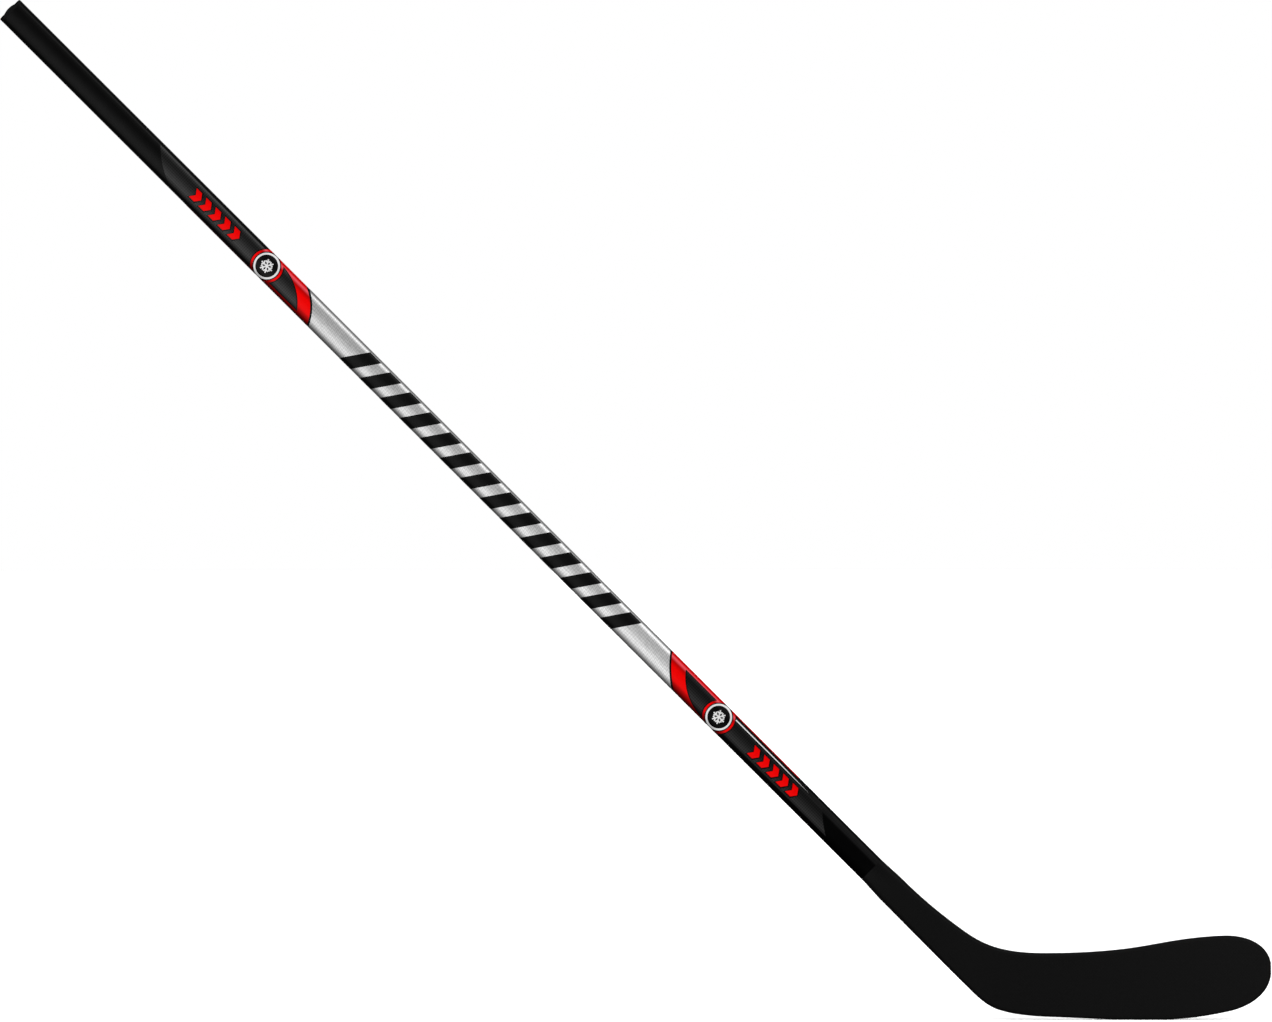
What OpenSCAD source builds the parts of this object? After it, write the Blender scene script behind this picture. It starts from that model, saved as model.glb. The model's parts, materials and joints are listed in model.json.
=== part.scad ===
// Ice hockey stick in its playing pose: a hollow carbon shaft leaning at 45 degrees, a curved
// blade resting on the ice with its toe towards +X, and a set of printed films on the shaft.
// Millimetres, +Z up. Z = 0 is the ice, X = 0 is halfway along the sole's flat, and Y = 0 is
// the shaft's middle plane. The blade bows, so the sole's flat is 4.7 mm in front of Y = 0 there.

/* [Shaft] */
// Length of the stick along its lower edge, from the heel corner to the butt end
stick_length = 1524; // [1500:1:1580]
// Width of the shaft across a wide face
shaft_width = 30; // [29.5:0.5:30.5]
// Thickness of the shaft between its wide faces
shaft_thick = 20; // [19:0.5:21]
// Radius of the shaft's four long corners
corner_r = 4.5; // [4.25:0.25:4.75]
// Depth of the shallow hollow along each wide face
hollow_depth = 0.5; // [0.3:0.1:0.6]
// Thickness of the laminate wall at the narrow faces
wall = 2; // [1.6:0.1:2.2]

/* [Butt plug] */
// Thickness of the flange that covers the end of the tube
flange_t = 4; // [2:0.5:4]
// Height of the cushion-shaped dome on the flange
dome_h = 2.3; // [1.5:0.1:3]
// Length of the plug's stem inside the tube
stem_length = 36; // [25:1:50]

/* [Joint] */
// Distance from the heel corner up to the seam between shaft and blade
seam_up = 215; // [212:1:230]
// Length of the blade's tongue inside the shaft
tongue_length = 64; // [50:1:80]
// Thickness of the glue film round the tongue and round the plug's stem
glue_t = 0.4; // [0.3:0.1:0.6]

/* [Blade] */
// Thickness of the blade towards the toe
blade_thick = 5.6; // [5:0.2:7]
// Edge radius of the blade
blade_edge_r = 2.1; // [1.8:0.1:2.3]
// How far the toe bows out towards the front face
bow_depth = 13; // [6:1:19]
// Angle by which the face opens at the toe
open_angle = 5; // [0:1:8]
// Thickness of the front and back carbon skins
skin_t = 0.9; // [0.7:0.1:1]
// Width of the carbon wrap round the blade's edge
wrap_width = 5; // [5:0.5:6]
// Width of the rib between the two foam cores
rib_width = 5; // [3:0.5:8]

/* [Films] */
// Thickness of a printed film
film_t = 0.12; // [0.1:0.02:0.2]
// Number of slanted bars on each wide face
bar_count = 14; // [10:1:15]
// Distance from one bar to the next
bar_pitch = 30.5; // [26:0.5:31]
// Width of a bar along the shaft
bar_width = 17; // [10:1:18]
// Number of chevrons in each group
chevron_count = 5; // [3:1:5]
// Distance from one chevron to the next
chevron_pitch = 14.5; // [12:0.5:14.5]

/* [Hidden] */

$fn = 96;
// Sides of the flatter curves: the graphics' arcs, the plug's dome and the shaft's hollows
arc_sides = 180;
dome_sides = 360;
hollow_sides = 720;
front = 1;
back = -1;
half_w = shaft_width / 2;
half_t = shaft_thick / 2;
lean = 45;
// From the heel corner to the middle of the sole's flat
sole_x = 150;
seam_at = stick_length - seam_up;
bore_w = shaft_width - 2 * wall;
bore_t = shaft_thick - 2 * wall;
bore_r = corner_r - wall;
// Radius of the arc that hollows each wide face, from its chord and its depth
hollow_half = 10;
hollow_r = (hollow_half * hollow_half + hollow_depth * hollow_depth) / (2 * hollow_depth);

// ---- Frames ------------------------------------------------------------------------------

// A point of the shaft in the X-Z plane, measured from the heel corner: how far up the shaft,
// and how far across it from its lower edge
function shaft_point(up, across) =
  [across * sin(lean) - up * cos(lean), across * cos(lean) + up * sin(lean)];

// Places children drawn in stick coordinates: X runs from the butt end to the blade, Y across
// the wide face to the upper edge, Z out of the front face
module on_shaft() {
  butt = shaft_point(stick_length, half_w);
  translate([butt[0] - sole_x, 0, butt[1]])
    rotate([0, lean, 0])
      rotate([90, 0, 0])
        children();
}

// Extrudes a cross-section drawn across the shaft, between two distances from the butt end
module along_shaft(from, to) {
  translate([from, 0, 0])
    rotate([90, 0, 90])
      linear_extrude(to - from)
        children();
}

// ---- Cross-sections ----------------------------------------------------------------------

module rounded_rectangle(w, t, r) {
  square([w - 2 * r, t], center = true);
  square([w, t - 2 * r], center = true);
  for (x = [-1, 1], y = [-1, 1])
    translate([x * (w / 2 - r), y * (t / 2 - r)])
      circle(r);
}

// The shaft's outside, grown outwards by a film's thickness
module shaft_section(grow = 0) {
  difference() {
    rounded_rectangle(shaft_width + 2 * grow, shaft_thick + 2 * grow, corner_r + grow);
    for (side = [-1, 1])
      translate([0, side * (half_t + hollow_r - hollow_depth)])
        circle(hollow_r - grow, $fn = hollow_sides);
  }
}

module bore_section(shrink = 0) {
  rounded_rectangle(bore_w - 2 * shrink, bore_t - 2 * shrink, bore_r - shrink);
}

// ---- Shaft -------------------------------------------------------------------------------

module shaft_tube() {
  color([0.04, 0.04, 0.045])
    on_shaft()
      along_shaft(0, seam_at)
        difference() {
          shaft_section();
          bore_section();
        }
}

// The dome is the overlap of two shallow arches, one across each way of the flange
module plug_dome(width, thick) {
  arch_w_r = (width * width / 4 + dome_h * dome_h) / (2 * dome_h);
  arch_t_r = (thick * thick / 4 + dome_h * dome_h) / (2 * dome_h);
  intersection() {
    translate([arch_w_r - dome_h, 0, 0])
      cylinder(h = shaft_thick, r = arch_w_r, center = true, $fn = dome_sides);
    translate([arch_t_r - dome_h, 0, 0])
      rotate([90, 0, 0])
        cylinder(h = shaft_width, r = arch_t_r, center = true, $fn = dome_sides);
    translate([-dome_h, -half_w, -half_t])
      cube([dome_h + 1, shaft_width, shaft_thick]);
  }
}

module butt_plug() {
  dome_w = 20;
  dome_t = 13;
  edge = 0.8;
  color([0.05, 0.05, 0.05])
    on_shaft() {
      along_shaft(-flange_t + edge, 0)
        shaft_section();
      along_shaft(-flange_t, 0)
        rounded_rectangle(shaft_width - 2 * edge, shaft_thick - 2 * edge - hollow_depth, corner_r - edge);
      along_shaft(-1, stem_length)
        bore_section(glue_t);
      translate([-flange_t, 0, 0])
        plug_dome(dome_w, dome_t);
    }
}

module glue_film(from, to) {
  color([0.85, 0.82, 0.7])
    on_shaft()
      along_shaft(from, to)
        difference() {
          bore_section();
          bore_section(glue_t);
        }
}

module plug_glue() {
  glue_film(1, stem_length - 1);
}

module hosel_glue() {
  glue_film(seam_at - tongue_length + 1, seam_at - 1);
}

// ---- Blade outline -----------------------------------------------------------------------

// Each outline is a chain of knots, [X, Z, heading], measured from the heel corner. Both chains
// have the same number of knots, so knot n below and knot n above make one cross-section.
fillet_up = 181;
// How far each edge of the neck has spread beyond the shaft's width at fillet_up
neck_flare = 1.3;
LOWER = [
  [each shaft_point(seam_up, 0), -lean],
  [each shaft_point(fillet_up, -neck_flare), -lean],
  [-41.5, 39.1, -44.5],
  [-3.7, 10.5, -17.5],
  [60, 2.7, -2],
  [136, 0, 0],
  [164, 0, 0],
  [243, 9.2, 12.5],
  [289, 49.3, 83]
];
UPPER = [
  [each shaft_point(seam_up, shaft_width), -lean],
  [each shaft_point(fillet_up, shaft_width + neck_flare), -lean],
  [-40, 95, -35.5],
  [-5, 77.6, -15.5],
  [46, 71.8, 0],
  [128, 76, 6.5],
  [180, 84.4, 10],
  [240, 90.8, 1.8],
  [289, 61.2, -81.5]
];
// Cross-sections between one knot and the next
STEPS = [4, 8, 6, 6, 5, 2, 6, 8];
heel_knot = 2;
toe_knot = len(STEPS);
toe_x = LOWER[toe_knot][0];

function heading(angle) = [cos(angle), sin(angle)];
function spot(knot) = [knot[0], knot[1]];

// A smooth stretch between two knots, a circular arc where the two headings allow one
function stretch(a, b, t) =
  let (
    turn = abs(b[2] - a[2]),
    reach = norm(spot(b) - spot(a)) / (3 * pow(cos(turn / 4), 2)),
    p = spot(a) + reach * heading(a[2]),
    q = spot(b) - reach * heading(b[2])
  )
  pow(1 - t, 3) * spot(a) + 3 * pow(1 - t, 2) * t * p + 3 * (1 - t) * t * t * q + pow(t, 3) * spot(b);

function along(knots, u) =
  let (n = min(floor(u), toe_knot - 1))
  stretch(knots[n], knots[n + 1], u - n);

// Places along the blade, from 0 at the seam to toe_knot at the toe
STATIONS = concat(
  [for (n = [0 : toe_knot - 1]) for (k = [0 : STEPS[n] - 1]) n + k / STEPS[n]],
  [toe_knot]
);
heel_station = STEPS[0] + STEPS[1];
last_station = len(STATIONS) - 1;
toe_station = last_station - 2;

// ---- Blade cross-sections ----------------------------------------------------------------

// How much of the shaft's thick section is left, from 1 at the seam to nearly 0 at the toe
function shaft_share(u) = 1 / (1 + pow(max(u - 1, 0) / 1.4, 2));
function half_thick(u) = (blade_thick + (shaft_thick - blade_thick) * shaft_share(u)) / 2;
function edge_r(u) = blade_edge_r + (corner_r - blade_edge_r) * shaft_share(u);

// Heights across the section, from its lower edge, where the surface is sampled
arc_steps = 4;
wrap_line = arc_steps + 1;
rib_line = wrap_line + 2;
last_line = 2 * rib_line + 1;
function wrap_of(tall) = min(wrap_width, 0.3 * tall);
function rib_half(tall) = min(rib_width / 2, 0.1 * tall);
function height_at(j, tall, u) =
  j > rib_line ? tall - height_at(last_line - j, tall, u)
  : j <= arc_steps ? edge_r(u) * (1 - cos(90 * j / arc_steps))
  : j == wrap_line ? wrap_of(tall)
  : j == rib_line ? tall / 2 - rib_half(tall)
  : (wrap_of(tall) + tall / 2 - rib_half(tall)) / 2;

// Half the thickness at a height: round edges, the shaft's hollow fading out below the seam,
// and a rounded toe
function half_at(u, h, tall) =
  let (
    r = edge_r(u),
    d = min(h, tall - h, r),
    plain = half_thick(u) - r + sqrt(max(r * r - pow(r - d, 2), 0)),
    off_middle = (h - tall / 2) / hollow_half,
    hollow = hollow_depth * max(1 - off_middle * off_middle, 0) * max(1 - u, 0)
  )
  u >= toe_knot ? half_thick(u) - r : plain - hollow;

// The middle surface bows forwards and opens towards the toe
bow_from = 20;
open_height = 40;
function to_toe(x) = max(x - bow_from, 0) / (toe_x - bow_from);
function middle(x, z) =
  -bow_depth * pow(to_toe(x), 2) + (z - open_height) * tan(open_angle * to_toe(x));

// A point on the front (-1) or back (+1) surface, or at a depth under it
function blade_point(i, j, side, depth) =
  let (
    u = STATIONS[i],
    low = along(LOWER, u),
    high = along(UPPER, u),
    tall = norm(high - low),
    h = height_at(j, tall, u),
    p = low + (high - low) * h / tall
  )
  [p[0] - sole_x, middle(p[0], p[1]) + side * (half_at(u, h, tall) - depth), p[1]];

// ---- Blade pieces ------------------------------------------------------------------------

// Zones of the blade's grid: stations run from seam to toe, lines from lower to upper edge
function in_wrap(i, j) = j < wrap_line || j >= last_line - wrap_line || i >= toe_station;
function in_face(i, j) = !in_wrap(i, j);
function in_hosel(i, j) = in_face(i, j) && i < heel_station;
function in_lower(i, j) = in_face(i, j) && i >= heel_station && j < rib_line;
function in_rib(i, j) = in_face(i, j) && i >= heel_station && j == rib_line;
function in_upper(i, j) = in_face(i, j) && i >= heel_station && j > rib_line;

function in_zone(zone, i, j) =
  i < 0 || j < 0 || i >= last_station || j >= last_line ? false
  : zone == "wrap" ? in_wrap(i, j)
  : zone == "face" ? in_face(i, j)
  : zone == "hosel" ? in_hosel(i, j)
  : zone == "lower" ? in_lower(i, j)
  : zone == "rib" ? in_rib(i, j)
  : in_upper(i, j);

function near_id(i, j) = i * (last_line + 1) + j;
function far_id(i, j) = near_id(i, j) + (last_station + 1) * (last_line + 1);
function two_triangles(a, b, c, d) = [[a, b, c], [a, c, d]];

// The closed skin of one grid cell: its near and far faces, and a wall on each open side
function cell_faces(zone, i, j) = concat(
  two_triangles(near_id(i, j), near_id(i, j + 1), near_id(i + 1, j + 1), near_id(i + 1, j)),
  two_triangles(far_id(i, j), far_id(i + 1, j), far_id(i + 1, j + 1), far_id(i, j + 1)),
  in_zone(zone, i, j - 1) ? []
    : two_triangles(near_id(i, j), near_id(i + 1, j), far_id(i + 1, j), far_id(i, j)),
  in_zone(zone, i, j + 1) ? []
    : two_triangles(near_id(i + 1, j + 1), near_id(i, j + 1), far_id(i, j + 1), far_id(i + 1, j + 1)),
  in_zone(zone, i - 1, j) ? []
    : two_triangles(near_id(i, j + 1), near_id(i, j), far_id(i, j), far_id(i, j + 1)),
  in_zone(zone, i + 1, j) ? []
    : two_triangles(near_id(i + 1, j), near_id(i + 1, j + 1), far_id(i + 1, j + 1), far_id(i + 1, j))
);

// One solid of the blade: a zone of the grid between two surfaces, each [side, depth]
module blade_solid(zone, near, far) {
  polyhedron(
    points = [
      for (surface = [near, far])
        for (i = [0 : last_station])
          for (j = [0 : last_line])
            blade_point(i, j, surface[0], surface[1])
    ],
    faces = [
      for (i = [0 : last_station - 1])
        for (j = [0 : last_line - 1])
          if (in_zone(zone, i, j))
            each cell_faces(zone, i, j)
    ]
  );
}

module blade_front_skin() {
  color([0.06, 0.06, 0.06])
    blade_solid("face", [-1, 0], [-1, skin_t]);
}

module blade_back_skin() {
  color([0.06, 0.06, 0.06])
    blade_solid("face", [1, skin_t], [1, 0]);
}

module blade_edge_wrap() {
  color([0.1, 0.1, 0.1])
    blade_solid("wrap", [-1, 0], [1, 0]);
}

module blade_upper_core() {
  color([0.9, 0.85, 0.6])
    blade_solid("upper", [-1, skin_t], [1, skin_t]);
}

module blade_lower_core() {
  color([0.85, 0.78, 0.5])
    blade_solid("lower", [-1, skin_t], [1, skin_t]);
}

module blade_bridge_rib() {
  color([0.2, 0.2, 0.2])
    blade_solid("rib", [-1, skin_t], [1, skin_t]);
}

// The neck's core and the tongue that is glued into the shaft, joined through a thick peg
module hosel() {
  peg_w = 17;
  peg_t = 13;
  peg_reach = 8;
  color([0.15, 0.15, 0.15]) {
    blade_solid("hosel", [-1, skin_t], [1, skin_t]);
    on_shaft() {
      along_shaft(seam_at - tongue_length, seam_at)
        bore_section(glue_t);
      along_shaft(seam_at - peg_reach, seam_at + peg_reach)
        square([peg_w, peg_t], center = true);
    }
  }
}

// ---- Films -------------------------------------------------------------------------------

// The space between two distances outside the tube's surface, along the whole tube
module shell(under, outer) {
  along_shaft(0, seam_at)
    difference() {
      shaft_section(outer);
      shaft_section(under);
    }
}

// A sheet wrapped all round the shaft, trimmed to the children's outline, which is drawn flat:
// X from the butt end, Y across the wide face
module film() {
  on_shaft()
    intersection() {
      shell(0, film_t);
      linear_extrude(2 * shaft_thick, center = true)
        children();
    }
}

// The same on one wide face and its two corners. A film on top of another starts at its surface
module face_film(side, under = 0) {
  on_shaft()
    intersection() {
      shell(under, under + film_t);
      mirror([0, 0, side == front ? 0 : 1])
        translate([0, 0, half_t - corner_r])
          linear_extrude(shaft_thick)
            children();
    }
}

// Where the graphics lie, from the butt end, and how wide the black outlines between them are
upper_badge_at = 388;
lower_badge_at = 1076.4;
badge_r = 14.4;
badge_ring = 2.1;
badge_gap = 1.2;
badge_red_r = 18;
outline = 1.2;
band_gap = 2.2;
over = half_w + 1;

// A flat rectangle between two places along the shaft and two heights across it
module patch(from, to, low, high) {
  translate([from, low])
    square([to - from, high - low]);
}

module disc(at, across, r) {
  translate([at, across])
    circle(r, $fn = arc_sides);
}

// Arcs that bound the red bands and the carbon panels
module upper_lens_arc(shrink = 0) disc(399, -45, 57.3 - shrink);
module upper_band_arc(grow = 0) disc(411.7, -38, 57 + grow);
module lower_band_arc(grow = 0) disc(1086.2, 86, 118.8 + grow);
module lower_lens_arc(shrink = 0) disc(1064.5, 48.3, 61.7 - shrink);
module panel_start_arc() disc(283.3, 78, 95.5);
module panel_end_arc() disc(1300, 80, 103);

lens_edge = 10.2;
stripe_edge = 14.2;

module silver_outline() {
  difference() {
    patch(414, 1054, -over, over);
    upper_band_arc(band_gap);
    lower_band_arc(band_gap);
  }
}

module silver_sleeve_film() {
  color([0.75, 0.75, 0.76])
    film()
      silver_outline();
}

module upper_red_outline() {
  difference() {
    union() {
      disc(upper_badge_at, 0, badge_red_r);
      intersection() {
        upper_band_arc();
        patch(upper_badge_at, 474, -over, over);
      }
      patch(280, upper_badge_at, -over, -stripe_edge);
    }
    disc(upper_badge_at, 0, badge_r + badge_gap);
    difference() {
      intersection() {
        upper_lens_arc();
        patch(upper_badge_at, 454, -lens_edge - outline, over);
      }
      disc(upper_badge_at, 0, badge_red_r);
    }
  }
}

module upper_red_film() {
  color([0.9, 0, 0.02])
    film()
      upper_red_outline();
}

module lower_red_outline() {
  difference() {
    union() {
      disc(lower_badge_at, 0, badge_red_r);
      intersection() {
        lower_band_arc();
        patch(974, lower_badge_at, -over, over);
      }
      patch(lower_badge_at, 1184, stripe_edge, over);
    }
    disc(lower_badge_at, 0, badge_r + badge_gap);
    difference() {
      intersection() {
        lower_lens_arc();
        patch(994, lower_badge_at, -over, lens_edge + outline);
      }
      disc(lower_badge_at, 0, badge_red_r);
    }
  }
}

module lower_red_film() {
  color([0.9, 0, 0.02])
    film()
      lower_red_outline();
}

// A row of chevrons that point at the blade
chevron_h = 12.5;
chevron_w = 8;
chevron_nose = 4.5;
upper_chevrons_at = 275.4;
lower_chevrons_at = 1125.3;

module chevrons(at, grow = 0) {
  high = chevron_h / 2 + grow;
  for (n = [0 : chevron_count - 1])
    translate([at + n * chevron_pitch, 0])
      polygon([
        [-grow, -high],
        [chevron_w + grow, -high],
        [chevron_w + chevron_nose + grow, 0],
        [chevron_w + grow, high],
        [-grow, high],
        [chevron_nose - grow, 0]
      ]);
}

module upper_panel_outline() {
  difference() {
    intersection() {
      patch(210.3, upper_badge_at, -11.5, 11.8);
      union() {
        panel_start_arc();
        patch(280, upper_badge_at, -over, over);
      }
    }
    disc(upper_badge_at, 0, badge_red_r + outline);
    chevrons(upper_chevrons_at, outline);
  }
}

module lower_panel_outline() {
  difference() {
    patch(lower_badge_at, 1252, -9.5, 9.3);
    disc(lower_badge_at, 0, badge_red_r + outline);
    panel_end_arc();
    chevrons(lower_chevrons_at, outline);
  }
}

module upper_lens_outline() {
  difference() {
    intersection() {
      upper_lens_arc(outline);
      patch(upper_badge_at, 450, -lens_edge, over);
    }
    disc(upper_badge_at, 0, badge_red_r + outline);
  }
}

module lower_lens_outline() {
  difference() {
    intersection() {
      lower_lens_arc(outline);
      patch(1004, lower_badge_at, -over, lens_edge);
    }
    disc(lower_badge_at, 0, badge_red_r + outline);
  }
}

module carbon_panel(side) {
  color([0.2, 0.2, 0.22])
    face_film(side)
      children();
}

module upper_panel_front() carbon_panel(front) upper_panel_outline();
module upper_panel_back() carbon_panel(back) upper_panel_outline();
module lower_panel_front() carbon_panel(front) lower_panel_outline();
module lower_panel_back() carbon_panel(back) lower_panel_outline();
module upper_lens_front() carbon_panel(front) upper_lens_outline();
module upper_lens_back() carbon_panel(back) upper_lens_outline();
module lower_lens_front() carbon_panel(front) lower_lens_outline();
module lower_lens_back() carbon_panel(back) lower_lens_outline();

module red_chevrons(side, at) {
  color([0.9, 0, 0.02])
    face_film(side)
      chevrons(at);
}

module upper_chevrons_front() red_chevrons(front, upper_chevrons_at);
module upper_chevrons_back() red_chevrons(back, upper_chevrons_at);
module lower_chevrons_front() red_chevrons(front, lower_chevrons_at);
module lower_chevrons_back() red_chevrons(back, lower_chevrons_at);

// Slanted black bars across the silver
bars_at = 512.6;
bar_slant = 20;
bar_top = 13;

module bars(side) {
  color([0.02, 0.02, 0.02])
    face_film(side, film_t)
      for (n = [0 : bar_count - 1])
        translate([bars_at + n * bar_pitch, 0])
          polygon([[0, -over], [bar_width, -over], [bar_width + bar_slant, bar_top], [bar_slant, bar_top]]);
}

module bars_front() bars(front);
module bars_back() bars(back);

// Round badges: a white ring round a snowflake, on the black of the shaft
module badge_ring(side, at) {
  color([0.95, 0.95, 0.95])
    face_film(side)
      difference() {
        disc(at, 0, badge_r);
        disc(at, 0, badge_r - badge_ring);
      }
}

module snowflake_arm() {
  arm = 7.5;
  thick = 1.5;
  twig = 3.2;
  twig_at = 3.8;
  translate([0, -thick / 2])
    square([arm, thick]);
  for (lean_to = [-1, 1])
    translate([twig_at, 0])
      rotate(lean_to * 55)
        translate([0, -thick / 2])
          square([twig, thick]);
}

module snowflake(side, at) {
  color([0.95, 0.95, 0.95])
    face_film(side)
      translate([at, 0])
        for (arm = [0 : 5])
          rotate(60 * arm)
            snowflake_arm();
}

module upper_ring_front() badge_ring(front, upper_badge_at);
module upper_ring_back() badge_ring(back, upper_badge_at);
module lower_ring_front() badge_ring(front, lower_badge_at);
module lower_ring_back() badge_ring(back, lower_badge_at);
module upper_snowflake_front() snowflake(front, upper_badge_at);
module upper_snowflake_back() snowflake(back, upper_badge_at);
module lower_snowflake_front() snowflake(front, lower_badge_at);
module lower_snowflake_back() snowflake(back, lower_badge_at);

// A thin white line along the upper edge of the lower panel, tapering to a point
module pinstripe(side) {
  start = lower_badge_at + 15.4;
  color([0.95, 0.95, 0.95])
    face_film(side)
      polygon([
        [start, lens_edge], [1204, lens_edge + 0.4],
        [1160, lens_edge + 1.2], [start, lens_edge + 1.3],
      ]);
}

module pinstripe_front() pinstripe(front);
module pinstripe_back() pinstripe(back);

shaft_tube();
butt_plug();
plug_glue();
hosel();
hosel_glue();
blade_front_skin();
blade_back_skin();
blade_edge_wrap();
blade_upper_core();
blade_lower_core();
blade_bridge_rib();
silver_sleeve_film();
upper_red_film();
lower_red_film();
upper_panel_front();
upper_panel_back();
lower_panel_front();
lower_panel_back();
upper_lens_front();
upper_lens_back();
lower_lens_front();
lower_lens_back();
bars_front();
bars_back();
upper_chevrons_front();
upper_chevrons_back();
lower_chevrons_front();
lower_chevrons_back();
upper_ring_front();
upper_ring_back();
lower_ring_front();
lower_ring_back();
upper_snowflake_front();
upper_snowflake_back();
lower_snowflake_front();
lower_snowflake_back();
pinstripe_front();
pinstripe_back();
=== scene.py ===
import json
import math

import bmesh
import bpy
import numpy as np
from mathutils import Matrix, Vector


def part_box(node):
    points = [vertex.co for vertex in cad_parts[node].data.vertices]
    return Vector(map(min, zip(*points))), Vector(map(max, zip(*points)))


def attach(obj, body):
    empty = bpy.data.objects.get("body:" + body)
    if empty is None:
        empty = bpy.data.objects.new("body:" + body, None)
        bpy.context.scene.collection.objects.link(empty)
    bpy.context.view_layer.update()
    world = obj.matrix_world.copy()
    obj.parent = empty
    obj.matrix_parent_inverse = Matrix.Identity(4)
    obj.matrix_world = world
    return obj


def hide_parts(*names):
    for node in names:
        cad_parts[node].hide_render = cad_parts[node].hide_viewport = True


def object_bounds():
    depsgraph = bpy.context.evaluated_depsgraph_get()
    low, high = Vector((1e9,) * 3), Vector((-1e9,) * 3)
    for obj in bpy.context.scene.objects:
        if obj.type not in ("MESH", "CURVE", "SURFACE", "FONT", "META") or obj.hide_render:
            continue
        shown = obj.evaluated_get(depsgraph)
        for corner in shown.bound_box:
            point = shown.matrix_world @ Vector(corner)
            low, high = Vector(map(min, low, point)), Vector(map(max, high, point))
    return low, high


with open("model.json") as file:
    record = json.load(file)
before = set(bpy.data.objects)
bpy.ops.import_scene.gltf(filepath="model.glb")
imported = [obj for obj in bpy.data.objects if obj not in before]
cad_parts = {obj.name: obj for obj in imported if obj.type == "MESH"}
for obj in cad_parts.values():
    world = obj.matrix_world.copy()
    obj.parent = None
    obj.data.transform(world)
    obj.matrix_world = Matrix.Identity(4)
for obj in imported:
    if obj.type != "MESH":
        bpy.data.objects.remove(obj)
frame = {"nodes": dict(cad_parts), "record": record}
cad_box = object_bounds()
nodes = frame["nodes"]

# ---- The stick's own frame ---------------------------------------------------------------
# s runs down the shaft from the butt end, v across the wide face to the upper edge, w out of
# the front face. All lengths are in metres.

C45 = math.sqrt(0.5)
HALF_W, HALF_T = 0.015, 0.010
CORNER_R = 0.0045
HOLLOW = 0.0005
HOLLOW_REACH = 0.010
FACE_STEP = 0.001
FLAT_V, FLAT_W = HALF_W - CORNER_R, HALF_T - CORNER_R
WALL = 0.002
MM = 1000

tube_lo, tube_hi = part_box("shaft_tube")
BUTT_X = tube_lo.x + HALF_W * C45
BUTT_Z = tube_hi.z - HALF_W * C45
SEAM = (tube_hi.x - BUTT_X) / C45 - HALF_W


def to_row(p):
    """From the stick's frame to the row frame."""
    s, v, w = p[:, 0], p[:, 1], p[:, 2]
    return np.stack([BUTT_X + C45 * (s + v), -w, BUTT_Z + C45 * (v - s)], 1)


def to_stick(p):
    """From the row frame to the stick's frame."""
    x, z = p[:, 0] - BUTT_X, p[:, 2] - BUTT_Z
    return np.stack([C45 * (x - z), C45 * (x + z), -p[:, 1]], 1)


def dish(v):
    """Depth of the shallow hollow along a wide face, fading out where the corners begin."""
    return HOLLOW * np.clip(1 - (v / FLAT_V) ** 2, 0, 1) ** 2


def snap(v, w, g):
    """Moves a point onto the shaft's section grown by g."""
    av, aw = np.abs(v), np.abs(w)
    sv, sw = np.sign(v), np.sign(w)
    wide = (av <= FLAT_V) & (aw > FLAT_W)
    corner = (av > FLAT_V) & (aw > FLAT_W)
    dv, dw = av - FLAT_V, aw - FLAT_W
    k = (CORNER_R + g) / np.maximum(np.hypot(dv, dw), 1e-9)
    new_v = np.where(corner, sv * (FLAT_V + dv * k), v)
    new_w = np.where(corner, sw * (FLAT_W + dw * k), w)
    new_w = np.where(wide, sw * (HALF_T + g - dish(v)), new_w)
    return new_v, new_w


def section_normal(v, w):
    """Outward normals of the shaft's section, as (0, v, w)."""
    av, aw = np.abs(v), np.abs(w)
    slope = 4 * HOLLOW * np.clip(1 - (v / FLAT_V) ** 2, 0, 1) * v / FLAT_V ** 2
    wide = (av <= FLAT_V) & (aw > FLAT_W)
    corner = (av > FLAT_V) & (aw > FLAT_W)
    nv = np.where(corner, np.sign(v) * (av - FLAT_V), np.where(wide, -slope, np.sign(v)))
    nw = np.where(corner, np.sign(w) * (aw - FLAT_W), np.where(wide, np.sign(w), 0))
    n = np.stack([np.zeros_like(nv), nv, nw], 1)
    return n / np.maximum(np.linalg.norm(n, axis=1, keepdims=True), 1e-12)


# ---- Meshes ------------------------------------------------------------------------------

def add_piece(name, mesh, replaced, material):
    """A visible piece that rides on the stick and takes the place of CAD nodes."""
    ob = bpy.data.objects.new(name, mesh)
    bpy.context.scene.collection.objects.link(ob)
    mesh.materials.append(material)
    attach(ob, "root")
    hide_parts(*replaced)
    return ob


def swept_normals(mesh):
    """Exact normals on the faces that follow the shaft's section, flat ones elsewhere."""
    mesh.polygons.foreach_set("use_smooth", [True] * len(mesh.polygons))
    co = np.array([v.co for v in mesh.vertices])
    stick = to_stick(co)
    exact = to_row(section_normal(stick[:, 1], stick[:, 2])) - to_row(np.zeros((1, 3)))
    loops = []
    for poly in mesh.polygons:
        flat = np.array(poly.normal)
        for vi in poly.vertices:
            loops.append(exact[vi] if exact[vi] @ flat > 0.9 else flat)
    mesh.normals_split_custom_set(loops)


def grown_by(v, w):
    """How far outside the CAD's section a point of a CAD film lies."""
    av, aw = np.abs(v), np.abs(w)
    radius = (HOLLOW_REACH ** 2 + HOLLOW ** 2) / (2 * HOLLOW)
    middle = HALF_T + radius - HOLLOW
    wide = np.maximum(aw - HALF_T, radius - np.hypot(v, middle - aw))
    corner = np.hypot(av - FLAT_V, aw - FLAT_W) - CORNER_R
    return np.where(aw <= FLAT_W, av - HALF_W, np.where(av <= FLAT_V, wide, corner))


def face_steps():
    """Even places across the hollow of a wide face."""
    return np.arange(-HOLLOW_REACH, HOLLOW_REACH + FACE_STEP / 10, FACE_STEP)


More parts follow.
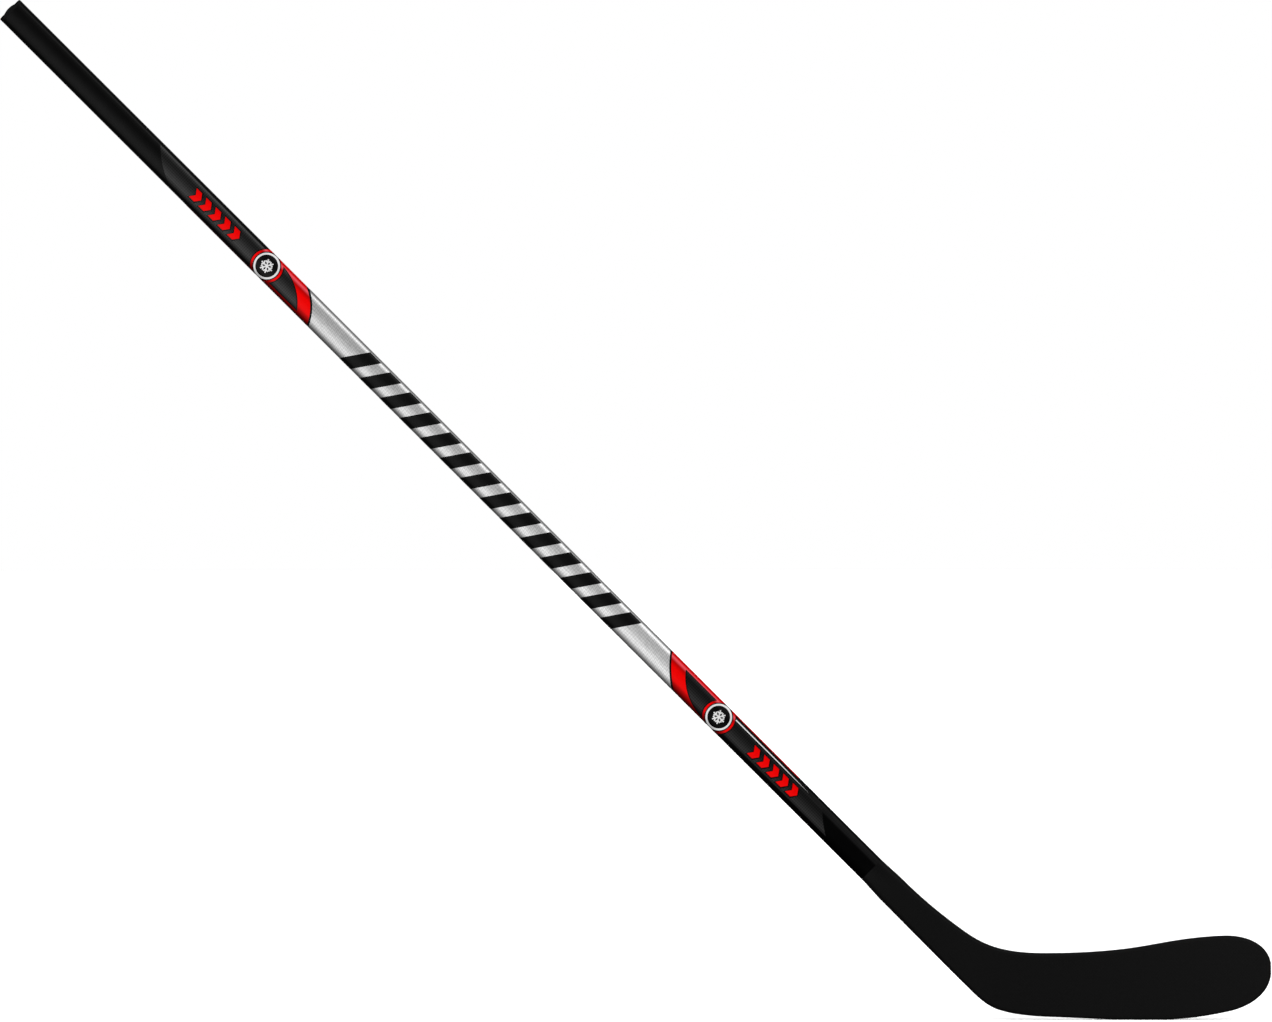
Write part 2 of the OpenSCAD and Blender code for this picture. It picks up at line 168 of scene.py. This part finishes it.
CORNER_CUTS = 8
CUTS = list(face_steps())
for k in range(CORNER_CUTS):
    edge = FLAT_V + CORNER_R * math.sin(math.radians(90 / CORNER_CUTS * k))
    CUTS += [-edge, edge]


def film_piece(node, material):
    """The CAD film's outline on a smooth surface, which follows the shaft's exact section."""
    bm = bmesh.new()
    bm.from_mesh(nodes[node].data)
    bmesh.ops.remove_doubles(bm, verts=bm.verts, dist=1e-6)
    bm.verts.ensure_lookup_table()
    stick = to_stick(np.array([v.co for v in bm.verts]))
    grow = grown_by(stick[:, 1], stick[:, 2])
    layer = bm.verts.layers.float.new("grow")
    for vert, p, g in zip(bm.verts, stick, grow):
        vert.co = p
        vert[layer] = g
    for cut in CUTS:
        bmesh.ops.bisect_plane(bm, geom=bm.verts[:] + bm.edges[:] + bm.faces[:],
                               dist=1e-7, plane_co=(0, cut, 0), plane_no=(0, 1, 0))
    p = np.array([v.co for v in bm.verts])
    g = np.array([v[layer] for v in bm.verts])
    p[:, 1], p[:, 2] = snap(p[:, 1], p[:, 2], g)
    for vert, q in zip(bm.verts, to_row(p)):
        vert.co = q
    bmesh.ops.recalc_face_normals(bm, faces=bm.faces)
    mesh = bpy.data.meshes.new(node + "_print")
    bm.to_mesh(mesh)
    bm.free()
    swept_normals(mesh)
    return add_piece(node + "_print", mesh, [node], material)


def loop_points(grow):
    """One turn round the shaft's section, evenly fine in the corners."""
    v = face_steps()
    top = np.stack([v, HALF_T + grow - dish(v)], 1)
    a = np.radians(7.5 * np.arange(13))
    r = CORNER_R + grow
    corner = np.stack([FLAT_V + r * np.sin(a), FLAT_W + r * np.cos(a)], 1)
    right = np.concatenate([corner, corner[::-1] * (1, -1)])
    return np.concatenate([top, right, top[::-1] * (1, -1), -right])


def bore_points(shrink):
    """The bore's section, with as many points as the outside has."""
    out = loop_points(0)
    half_v, half_w = HALF_W - WALL - shrink, HALF_T - WALL - shrink
    r = CORNER_R - WALL - shrink
    n = section_normal(out[:, 0], out[:, 1])[:, 1:]
    cv = np.clip(out[:, 0], -(half_v - r), half_v - r)
    cw = np.clip(out[:, 1], -(half_w - r), half_w - r)
    wide = (np.abs(out[:, 0]) <= FLAT_V)
    n = np.where(wide[:, None], np.stack([np.zeros(len(out)), np.sign(out[:, 1])], 1), n)
    return np.stack([cv, cw], 1) + n * r


def ring_mesh(name, rings, closed_tube):
    """Joins rings of points, [s, points across the section], into a closed surface."""
    n = len(rings[0][1])
    co = np.concatenate([
        np.column_stack([np.broadcast_to(s, n), pts]) for s, pts in rings])
    faces = []
    count = len(rings)
    for i in range(count if closed_tube else count - 1):
        a, b = i * n, ((i + 1) % count) * n
        for j in range(n):
            k = (j + 1) % n
            faces.append((a + j, a + k, b + k, b + j))
    if not closed_tube:
        faces.append(tuple(range(n)))
        faces.append(tuple(range((count - 1) * n, count * n)))
    mesh = bpy.data.meshes.new(name)
    mesh.from_pydata(to_row(co).tolist(), [], faces)
    bm = bmesh.new()
    bm.from_mesh(mesh)
    bmesh.ops.recalc_face_normals(bm, faces=bm.faces)
    bm.to_mesh(mesh)
    bm.free()
    return mesh


EASE = 0.00015
SHARP_DEG = 40


def tube_piece(material):
    """The hollow tube, its ends eased so that the joints read as fine lines."""
    outer, eased, bore = loop_points(0), loop_points(-EASE), bore_points(0)
    rings = [(0, bore), (0, eased), (EASE, outer),
             (SEAM - EASE, outer), (SEAM, eased), (SEAM, bore)]
    mesh = ring_mesh("shaft_body", rings, True)
    swept_normals(mesh)
    return add_piece("shaft_body", mesh, ["shaft_tube"], material)


FLANGE, DOME_H, STEM = 0.004, 0.0023, 0.036
DOME_V, DOME_W = 0.010, 0.0065
PLUG_R = 0.0008
STEM_GAP = 0.0004


def plug_piece(material):
    """Flange with a rounded rim, a cushion-shaped dome and a stem."""
    stem = bore_points(STEM_GAP)
    rings = [(STEM, stem), (0, stem), (0, loop_points(-EASE)),
             (-EASE, loop_points(0)), (-FLANGE + PLUG_R, loop_points(0))]
    for k in range(1, 7):
        a = math.radians(15 * k)
        at = -FLANGE + PLUG_R * (1 - math.sin(a))
        rings.append((at, loop_points(-PLUG_R * (1 - math.cos(a)))))
    rim = loop_points(-PLUG_R)
    for q in np.linspace(0.97, 0.05, 24):
        pts = rim * q
        arch_v = np.clip(1 - (pts[:, 0] / DOME_V) ** 2, 0, 1)
        arch_w = np.clip(1 - (pts[:, 1] / DOME_W) ** 2, 0, 1)
        rings.append((-FLANGE - DOME_H * (arch_v * arch_w), pts))
    mesh = ring_mesh("plug_body", rings, False)
    mesh.polygons.foreach_set("use_smooth", [True] * len(mesh.polygons))
    mesh.set_sharp_from_angle(angle=math.radians(SHARP_DEG))
    return add_piece("plug_body", mesh, ["butt_plug"], material)


# ---- Blade -------------------------------------------------------------------------------
# Knots of the outline, [x, z, heading], in millimetres from the heel corner

HEEL_X = -0.150
UP, WIDE, FILLET, FLARE = 215, 30, 181, 1.3


def knot_up(up, across):
    """A knot on the shaft, that far above the heel corner and across from the lower edge."""
    return [C45 * (across - up), C45 * (across + up), -45]


LOWER = [knot_up(UP, 0), knot_up(FILLET, -FLARE), [-41.5, 39.1, -44.5], [-3.7, 10.5, -17.5],
         [60, 2.7, -2], [136, 0, 0], [164, 0, 0], [243, 9.2, 12.5], [289, 49.3, 83]]
UPPER = [knot_up(UP, WIDE), knot_up(FILLET, WIDE + FLARE), [-40, 95, -35.5], [-5, 77.6, -15.5],
         [46, 71.8, 0], [128, 76, 6.5], [180, 84.4, 10], [240, 90.8, 1.8], [289, 61.2, -81.5]]
BLADE_T, EDGE_R = 5.6, 2.1
SHAFT_T, SHAFT_R = 20, 4.5
SEAM_SHARE = 0.003
TOE = len(LOWER) - 1
TOE_X = LOWER[TOE][0]
BOW, OPEN_DEG, BOW_FROM, OPEN_H = 13, 5, 20, 40


def stretch(a, b, t):
    """A point on the smooth curve from knot a to knot b."""
    p0, p3 = np.array(a[:2], float), np.array(b[:2], float)
    reach = np.linalg.norm(p3 - p0) / (3 * math.cos(math.radians(abs(b[2] - a[2]) / 4)) ** 2)
    ha, hb = math.radians(a[2]), math.radians(b[2])
    p1 = p0 + reach * np.array([math.cos(ha), math.sin(ha)])
    p2 = p3 - reach * np.array([math.cos(hb), math.sin(hb)])
    return (1 - t) ** 3 * p0 + 3 * (1 - t) ** 2 * t * p1 + 3 * (1 - t) * t * t * p2 + t ** 3 * p3


def along(knots, u):
    """A point on a whole edge. Whole numbers of u are the knots."""
    n = min(int(u), TOE - 1)
    return stretch(knots[n], knots[n + 1], u - n)


def share(u):
    """How much of the shaft's section is left at u."""
    return 1 / (1 + (max(u - 1, 0) / 1.4) ** 2)


def middle(x, z):
    """The blade's middle surface, bowed and opened towards the toe."""
    t = np.maximum(x - BOW_FROM, 0) / (TOE_X - BOW_FROM)
    return -BOW * t ** 2 + (z - OPEN_H) * np.tan(np.radians(OPEN_DEG * t))


def blade_piece(material):
    """One smooth painted surface over the skins and the edge wrap."""
    us = np.concatenate([[0, 0.006, 0.03], np.linspace(0.1, 1, 5)] +
                        [np.linspace(n, n + 1, 17)[1:] for n in range(1, TOE - 1)] +
                        [TOE - 1 + np.sin(np.linspace(0, math.pi / 2, 33))[1:]])
    low = np.array([along(LOWER, u) for u in us])
    high = np.array([along(UPPER, u) for u in us])
    lines, arc = 28, 8
    q = np.linspace(0, 1, lines + 1)
    toe_pts = low[-1] + q[1:-1, None] * (high[-1] - low[-1])
    outline = np.concatenate([low, toe_pts, high[::-1]])
    u_out = np.concatenate([us, np.full(len(toe_pts), us[-1]), us[::-1]])
    tan = np.gradient(outline, axis=0)
    tan[0], tan[-1] = [1, -1], [-1, 1]
    tan /= np.linalg.norm(tan, axis=1, keepdims=True)
    inward = np.stack([-tan[:, 1], tan[:, 0]], 1)
    thick = np.array([(BLADE_T + (SHAFT_T - BLADE_T) * share(u)) / 2 for u in us])
    radius = np.array([EDGE_R + (SHAFT_R - EDGE_R) * share(u) for u in us])
    r_out = np.interp(u_out, us, radius)
    t_out = np.interp(u_out, us, thick)
    ease = np.where(u_out < SEAM_SHARE, EASE * MM, 0)
    n = len(us)
    inner_low = low + inward[:n] * r_out[:n, None]
    inner_high = high + inward[-n:][::-1] * r_out[-n:][::-1, None]
    grid = inner_low[:, None] + q[None, :, None] * (inner_high - inner_low)[:, None]
    inner = np.concatenate([grid[:, 0], grid[-1, 1:-1], grid[::-1, -1]])
    co, faces = [], []

    def surface(side):
        """The grid of one face, and the rings round its edge."""
        first = len(co)
        tall = np.linalg.norm(high - low, axis=1)
        for i in range(n):
            for j in range(lines + 1):
                off = radius[i] + q[j] * (tall[i] - 2 * radius[i]) - tall[i] / 2
                off /= FLAT_V * MM
                sunk = HOLLOW * MM * max(1 - off * off, 0) ** 2 * max(1 - us[i], 0)
                x, z = grid[i, j]
                half = thick[i] - sunk - (EASE * MM if us[i] < SEAM_SHARE else 0)
                co.append([x, middle(x, z) + side * half, z])
        rings = []
        for k in range(arc):
            a = math.radians(90 * k / arc)
            pts = outline + (inner - outline) * (1 - math.cos(a))
            pts = pts + inward * (ease * math.cos(a))[:, None]
            half = t_out - r_out + r_out * math.sin(a) - ease * math.sin(a)
            rings.append(len(co))
            x, z = pts[:, 0], pts[:, 1]
            co.extend(np.column_stack([x, middle(x, z) + side * half, z]).tolist())
        return first, rings

    def cell(first, i, j):
        return first + i * (lines + 1) + j

    sides = [surface(-1), surface(1)]
    total = len(outline)
    for first, rings in sides:
        for i in range(n - 1):
            for j in range(lines):
                faces.append((cell(first, i, j), cell(first, i + 1, j),
                              cell(first, i + 1, j + 1), cell(first, i, j + 1)))
        border = [cell(first, i, 0) for i in range(n)]
        border += [cell(first, n - 1, j) for j in range(1, lines)]
        border += [cell(first, i, lines) for i in range(n - 1, -1, -1)]
        chain = [[r + m for m in range(total)] for r in rings] + [border]
        for a, b in zip(chain, chain[1:]):
            for m in range(total - 1):
                faces.append((a[m], a[m + 1], b[m + 1], b[m]))
    front, back = sides[0][1][0], sides[1][1][0]
    for m in range(total - 1):
        faces.append((front + m, front + m + 1, back + m + 1, back + m))
    pts = np.array(co) / MM
    pts[:, 0] += HEEL_X
    mesh = bpy.data.meshes.new("blade_body")
    mesh.from_pydata(pts.tolist(), [], faces)
    bm = bmesh.new()
    bm.from_mesh(mesh)
    bmesh.ops.holes_fill(bm, edges=[e for e in bm.edges if e.is_boundary], sides=0)
    bmesh.ops.recalc_face_normals(bm, faces=bm.faces)
    bm.to_mesh(mesh)
    bm.free()
    mesh.polygons.foreach_set("use_smooth", [True] * len(mesh.polygons))
    mesh.set_sharp_from_angle(angle=math.radians(SHARP_DEG))
    return add_piece("blade_body", mesh,
                     ["blade_front_skin", "blade_back_skin", "blade_edge_wrap"], material)


# ---- Materials ---------------------------------------------------------------------------

class Paint:
    """A small builder for one procedural material."""

    def __init__(self, name, **sockets):
        self.mat = bpy.data.materials.new(name)
        self.mat.use_nodes = True
        self.tree = self.mat.node_tree
        self.bsdf = self.tree.nodes["Principled BSDF"]
        for key, value in sockets.items():
            self.bsdf.inputs[key.replace("_", " ")].default_value = value
        coords = self.node("ShaderNodeTexCoord")
        place = self.node("ShaderNodeMapping")
        place.inputs["Rotation"].default_value = (0, -math.pi / 4, 0)
        place.inputs["Location"].default_value = (
            -C45 * (BUTT_X - BUTT_Z), 0, -C45 * (BUTT_X + BUTT_Z))
        self.link(coords.outputs["Object"], place.inputs["Vector"])
        self.stick = place.outputs["Vector"]
        split = self.node("ShaderNodeSeparateXYZ")
        self.link(self.stick, split.inputs[0])
        self.s, self.w, self.v = split.outputs

    def node(self, kind, **props):
        made = self.tree.nodes.new(kind)
        for key, value in props.items():
            setattr(made, key, value)
        return made

    def link(self, a, b):
        self.tree.links.new(a, b)

    def scaled(self, x, y, z):
        n = self.node("ShaderNodeVectorMath", operation="MULTIPLY")
        self.link(self.stick, n.inputs[0])
        n.inputs[1].default_value = (x, y, z)
        return n.outputs[0]

    def math(self, operation, a, b=0.0, c=0.0):
        n = self.node("ShaderNodeMath", operation=operation)
        for socket, value in zip(n.inputs, (a, b, c)):
            if isinstance(value, (int, float)):
                socket.default_value = value
            else:
                self.link(value, socket)
        return n.outputs[0]

    def noise(self, scale, detail=3, vector=None, rough=0.55):
        n = self.node("ShaderNodeTexNoise")
        n.inputs["Scale"].default_value = scale
        n.inputs["Detail"].default_value = detail
        n.inputs["Roughness"].default_value = rough
        self.link(vector or self.stick, n.inputs["Vector"])
        return n.outputs["Fac"]

    def ramp(self, value, *stops):
        n = self.node("ShaderNodeValToRGB")
        e = n.color_ramp.elements
        while len(e) < len(stops):
            e.new(0.5)
        for item, (at, colour) in zip(e, stops):
            item.position = at
            item.color = (*(colour if hasattr(colour, "__len__") else (colour,) * 3), 1)
        self.link(value, n.inputs[0])
        return n.outputs["Color"]

    def mixed(self, how, factor, a, b):
        n = self.node("ShaderNodeMix", data_type="RGBA", blend_type=how)
        for socket, value in zip((n.inputs[0], n.inputs[6], n.inputs[7]), (factor, a, b)):
            if isinstance(value, (int, float)):
                socket.default_value = value
            elif isinstance(value, tuple):
                socket.default_value = (*value, 1)
            else:
                self.link(value, socket)
        return n.outputs[2]

    def weave(self, tow):
        """A two-by-two twill: 0 to 1, high on the crown of each tow."""
        turn = 2 * math.pi / tow
        across = self.math("SINE", self.math("MULTIPLY", self.s, turn))
        down = self.math("SINE", self.math("MULTIPLY", self.v, turn))
        both = self.math("ADD", self.s, self.v)
        diagonal = self.math("SINE", self.math("MULTIPLY", both, turn / 2))
        pick = self.math("GREATER_THAN", diagonal, 0.0)
        keep = self.math("MULTIPLY", across, pick)
        rest = self.math("MULTIPLY", down, self.math("SUBTRACT", 1.0, pick))
        return self.math("MULTIPLY_ADD", self.math("ADD", keep, rest), 0.5, 0.5)

    def bump(self, height, strength, distance):
        n = self.node("ShaderNodeBump")
        n.inputs["Strength"].default_value = strength
        n.inputs["Distance"].default_value = distance
        self.link(height, n.inputs["Height"])
        self.link(n.outputs[0], self.bsdf.inputs["Normal"])

    def colour(self, out):
        self.link(out, self.bsdf.inputs["Base Color"])

    def roughness(self, low, high, pattern):
        n = self.node("ShaderNodeMapRange")
        n.inputs["To Min"].default_value, n.inputs["To Max"].default_value = low, high
        self.link(pattern, n.inputs["Value"])
        self.link(n.outputs[0], self.bsdf.inputs["Roughness"])


def painted_light_across(p, *stops):
    """A colour that changes with v, the place across the wide face in millimetres. It carries
    painted shade and painted highlights across the faces.
    """
    place = p.math("MULTIPLY_ADD", p.v, 1 / (2 * HALF_W), 0.5)
    return p.ramp(place, *[(0.5 + v / 30, tone) for v, tone in stops])


def black_shaft():
    p = Paint("black_shaft", Specular_IOR_Level=0.05)
    # Painted highlight bands below the middle and near the upper corner, with painted shade at
    # the lower corner, in the black lacquer's colour.
    handle_painted_sheen = painted_light_across(p, (-14, 0.0022), (-9, 0.0045), (0, 0.0032), (6, 0.0022),
                          (10, 0.0045), (12.5, 0.0025))
    # Painted shade over the lower part of the neck and a painted highlight along its upper edge.
    neck_painted_highlight = painted_light_across(p, (-8, 0.0004), (-5, 0.0012), (5.5, 0.0022), (7.5, 0.0110),
                        (12, 0.0130), (13.5, 0.0020))
    near_blade = p.ramp(p.math("MULTIPLY", p.s, 0.5), (0.44, 0.0), (0.62, 1.0))
    # Blends the handle's painted light into the neck's towards the blade.
    tone = p.mixed("MIX", near_blade, handle_painted_sheen, neck_painted_highlight)
    p.link(p.ramp(near_blade, (0.0, 0.05), (1.0, 0.008)), p.bsdf.inputs["Specular IOR Level"])
    cloth = p.ramp(p.weave(0.0024), (0.1, 0.75), (0.9, 1.1))
    cloudy = p.ramp(p.noise(60, 4), (0.3, 0.75), (0.7, 1.15))
    p.colour(p.mixed("MULTIPLY", 1.0, p.mixed("MULTIPLY", 1.0, tone, cloth), cloudy))
    p.roughness(0.3, 0.42, p.noise(900, 2, p.scaled(0.15, 1, 1)))
    p.bump(p.weave(0.0024), 0.1, 0.00004)
    return p.mat


def blade_paint():
    p = Paint("blade_paint", Specular_IOR_Level=0.04)
    speck = p.noise(1400, 2)
    cloth = p.weave(0.0026)
    tone = p.ramp(speck, (0.35, 0.0036), (0.65, 0.0066))
    p.colour(p.mixed("MULTIPLY", 1.0, tone, p.ramp(cloth, (0.1, 0.8), (0.9, 1.1))))
    p.roughness(0.42, 0.58, p.noise(300, 3))
    p.bump(p.math("MULTIPLY_ADD", cloth, 0.5, speck), 0.2, 0.00005)
    return p.mat


def silver_print():
    p = Paint("silver_print", Metallic=0.12)
    grain = p.noise(1500, 3, p.scaled(0.12, 1, 1))
    cloth = p.weave(0.0030)
    # Painted shade at both corners and painted highlights below the middle and near the upper
    # corner of the silver print.
    silver_painted_light = painted_light_across(p, (-14.4, 0.07), (-13, 0.26), (-10.5, 0.42), (-7.2, 0.66),
                        (-4, 0.60), (0, 0.52), (7.5, 0.46), (9, 0.52), (11, 0.78),
                        (12.4, 0.66), (13.6, 0.30), (14.6, 0.14))
    fine = p.ramp(grain, (0.35, 0.84), (0.65, 1.10))
    lower = p.ramp(p.math("MULTIPLY", p.s, 1 / 1.3), (0.35, 0.96), (0.75, 1.22))
    tone = p.mixed("MULTIPLY", 1.0, p.mixed("MULTIPLY", 1.0, silver_painted_light, fine), lower)
    p.colour(p.mixed("MULTIPLY", 1.0, tone, p.ramp(cloth, (0.1, 0.80), (0.9, 1.06))))
    p.roughness(0.3, 0.44, grain)
    p.bump(p.math("ADD", cloth, grain), 0.15, 0.00004)
    return p.mat


def red_ink(name):
    p = Paint(name, Specular_IOR_Level=0.03)
    # Painted shade towards the lower edge and a pale painted highlight near the upper corner of
    # the red print; darker again around 8.6 mm.
    tone = painted_light_across(p, (-14, (0.08, 0, 0)), (-11.5, (0.22, 0, 0)), (-8.8, (0.42, 0, 0)),
                        (-6, (0.92, 0, 0)), (-3, (1, 0, 0)), (4, (1, 0, 0)), (8.6, (0.52, 0, 0)),
                        (11.4, (0.95, 0.09, 0.12)), (13.4, (0.62, 0, 0)))
    p.colour(p.mixed("MULTIPLY", 1.0, tone, p.ramp(p.noise(500, 3), (0.3, 0.92), (0.7, 1.04))))
    p.roughness(0.3, 0.42, p.noise(900, 2))
    p.bump(p.weave(0.0024), 0.06, 0.00004)
    return p.mat


def carbon_ink():
    p = Paint("carbon_ink", Specular_IOR_Level=0.07)
    # Painted shade at both edges and painted highlights below the middle and near the upper
    # corner of the carbon print.
    carbon_painted_light = painted_light_across(p, (-13.4, 0.004), (-10, 0.008), (-6.5, 0.036), (0, 0.019), (5.5, 0.010),
                        (8, 0.016), (11, 0.050), (12.6, 0.014), (13.4, 0.004))
    upper = p.ramp(p.math("MULTIPLY", p.s, 1 / 1.3), (0.4, 1.0), (0.75, 0.6))
    tone = p.mixed("MULTIPLY", 1.0, carbon_painted_light, upper)
    p.colour(p.mixed("MULTIPLY", 1.0, tone, p.ramp(p.weave(0.0024), (0.1, 0.6), (0.9, 1.3))))
    p.roughness(0.26, 0.4, p.weave(0.0024))
    p.bump(p.weave(0.0024), 0.2, 0.00005)
    return p.mat


def black_ink():
    p = Paint("black_ink", Specular_IOR_Level=0.05)
    p.colour(p.ramp(p.noise(1200, 3, p.scaled(0.2, 1, 1)), (0.3, 0.0015), (0.7, 0.004)))
    p.roughness(0.32, 0.44, p.noise(800, 2))
    p.bump(p.weave(0.0030), 0.06, 0.00004)
    return p.mat


def white_ink():
    p = Paint("white_ink", Specular_IOR_Level=0.2)
    p.colour(p.ramp(p.noise(900, 3), (0.3, 0.80), (0.7, 0.90)))
    p.roughness(0.32, 0.44, p.noise(700, 2))
    p.bump(p.weave(0.0024), 0.06, 0.00004)
    return p.mat


def moulded_rubber():
    p = Paint("moulded_rubber", Specular_IOR_Level=0.06)
    p.colour(p.ramp(p.noise(700, 4), (0.3, 0.0035), (0.7, 0.0075)))
    p.roughness(0.55, 0.72, p.noise(900, 3))
    p.bump(p.noise(2200, 3), 0.3, 0.00006)
    return p.mat


def inner(name, dark, light, scale, depth):
    """Glue, foam and bare laminate inside the stick."""
    p = Paint(name)
    p.colour(p.ramp(p.noise(scale, 4), (0.3, dark), (0.7, light)))
    p.roughness(0.5, 0.8, p.noise(scale, 2))
    p.bump(p.noise(scale * 2, 3), 0.4, depth)
    return p.mat


SLOTS = {
    "shaft_lacquer": black_shaft(),
    "plug_rubber": moulded_rubber(),
    "blade_lacquer": blade_paint(),
    "silver_film": silver_print(),
    "red_film": red_ink("red_ink_wrap"),
    "red_print": red_ink("red_ink_marks"),
    "carbon_film": carbon_ink(),
    "black_print": black_ink(),
    "white_print": white_ink(),
    "hot_melt": inner("set_glue", (0.5, 0.42, 0.26), (0.62, 0.55, 0.38), 150, 0.0001),
    "bare_carbon": inner("bare_laminate", 0.01, 0.03, 500, 0.0001),
    "foam": inner("closed_cell_foam", (0.6, 0.5, 0.26), (0.76, 0.66, 0.4), 900, 0.0003),
}

tube_piece(SLOTS["shaft_lacquer"])
plug_piece(SLOTS["plug_rubber"])
blade_piece(SLOTS["blade_lacquer"])
FILM_SLOTS = ("silver_film", "red_film", "red_print", "carbon_film", "black_print", "white_print")
for row in frame["record"]["subparts"]:
    node, slot = row["node"], row["material_slot"]
    if slot in FILM_SLOTS:
        film_piece(node, SLOTS[slot])
    elif not nodes[node].hide_render:
        nodes[node].data.materials.clear()
        nodes[node].data.materials.append(SLOTS[slot])

# ---- Stage, light and camera -------------------------------------------------------------

scene = bpy.context.scene
scene.view_settings.view_transform = "Standard"


def floor():
    bm = bmesh.new()
    bmesh.ops.create_circle(bm, cap_ends=True, segments=96, radius=60)
    mesh = bpy.data.meshes.new("floor")
    bm.to_mesh(mesh)
    bm.free()
    ob = bpy.data.objects.new("floor", mesh)
    scene.collection.objects.link(ob)
    mat = bpy.data.materials.new("pale_floor")
    mat.use_nodes = True
    b = mat.node_tree.nodes["Principled BSDF"]
    b.inputs["Base Color"].default_value = (0.9, 0.9, 0.9, 1)
    b.inputs["Roughness"].default_value = 1
    b.inputs["Specular IOR Level"].default_value = 0
    mesh.materials.append(mat)
    ob.visible_glossy = False
    ob.visible_diffuse = False
    return ob


def sky():
    """White where the camera looks. As a light it is dim in front and bright behind."""
    world = bpy.data.worlds.new("studio")
    scene.world = world
    world.use_nodes = True
    tree = world.node_tree
    tree.nodes.clear()
    make, link = tree.nodes.new, tree.links.new
    coords, split, ramp = (make("ShaderNodeTexCoord"), make("ShaderNodeSeparateXYZ"),
                           make("ShaderNodeValToRGB"))
    link(coords.outputs["Generated"], split.inputs[0])
    shift = make("ShaderNodeMath")
    shift.operation = "MULTIPLY_ADD"
    shift.inputs[1].default_value = shift.inputs[2].default_value = 0.5
    link(split.outputs["Y"], shift.inputs[0])
    link(shift.outputs[0], ramp.inputs[0])
    e = ramp.color_ramp.elements
    e[0].position, e[0].color = 0.45, (0.10, 0.10, 0.10, 1)
    e[1].position, e[1].color = 0.85, (0.8, 0.8, 0.8, 1)
    path, mix, back, out = (make("ShaderNodeLightPath"), make("ShaderNodeMix"),
                            make("ShaderNodeBackground"), make("ShaderNodeOutputWorld"))
    mix.data_type = "RGBA"
    link(path.outputs["Is Camera Ray"], mix.inputs[0])
    link(ramp.outputs["Color"], mix.inputs[6])
    mix.inputs[7].default_value = (1, 1, 1, 1)
    link(mix.outputs[2], back.inputs["Color"])
    link(back.outputs[0], out.inputs["Surface"])


def softbox(name, direction, distance, size, power):
    light = bpy.data.lights.new(name, "AREA")
    light.shape = "RECTANGLE"
    light.size, light.size_y = size
    light.energy = power
    ob = bpy.data.objects.new(name, light)
    scene.collection.objects.link(ob)
    d = Vector(direction).normalized()
    ob.location = CENTRE + d * distance
    ob.rotation_mode = "QUATERNION"
    ob.rotation_quaternion = d.to_track_quat("Z", "Y")
    ob.visible_camera = False
    return ob


def sun(name, direction, angle, strength):
    light = bpy.data.lights.new(name, "SUN")
    light.angle = math.radians(angle)
    light.energy = strength
    ob = bpy.data.objects.new(name, light)
    scene.collection.objects.link(ob)
    ob.rotation_mode = "QUATERNION"
    ob.rotation_quaternion = Vector(direction).normalized().to_track_quat("Z", "Y")
    return ob


def only_lights(light, lit):
    """The light reaches only that object, and the stick still shades it."""
    group = bpy.data.collections.new(light.name + "_lit")
    group.objects.link(lit)
    light.light_linking.receiver_collection = group


CENTRE = (cad_box[0] + cad_box[1]) / 2
CAMERA_AT = 8.0
FRAME_WIDTH = 1.0026 * (cad_box[1].x - cad_box[0].x)
CAMERA_ASIDE, CAMERA_DOWN = 0.0006, 0.0012
CAMERA_ROLL = 0.00104


def camera():
    data = bpy.data.cameras.new("camera")
    ob = bpy.data.objects.new("camera", data)
    scene.collection.objects.link(ob)
    data.sensor_width = 36
    data.lens = 36 * CAMERA_AT / FRAME_WIDTH
    data.clip_end = 200
    ob.location = (CENTRE.x + CAMERA_ASIDE, CENTRE.y - CAMERA_AT, CENTRE.z - CAMERA_DOWN)
    ob.rotation_euler = (math.pi / 2, CAMERA_ROLL, 0)
    scene.camera = ob


ground = floor()
sky()
camera()
only_lights(sun("overhead", (0, -0.15, 1), 70, 3.9), ground)
softbox("front_light", (0.26, -0.90, 0.36), 3.0, (2.6, 1.8), 90)
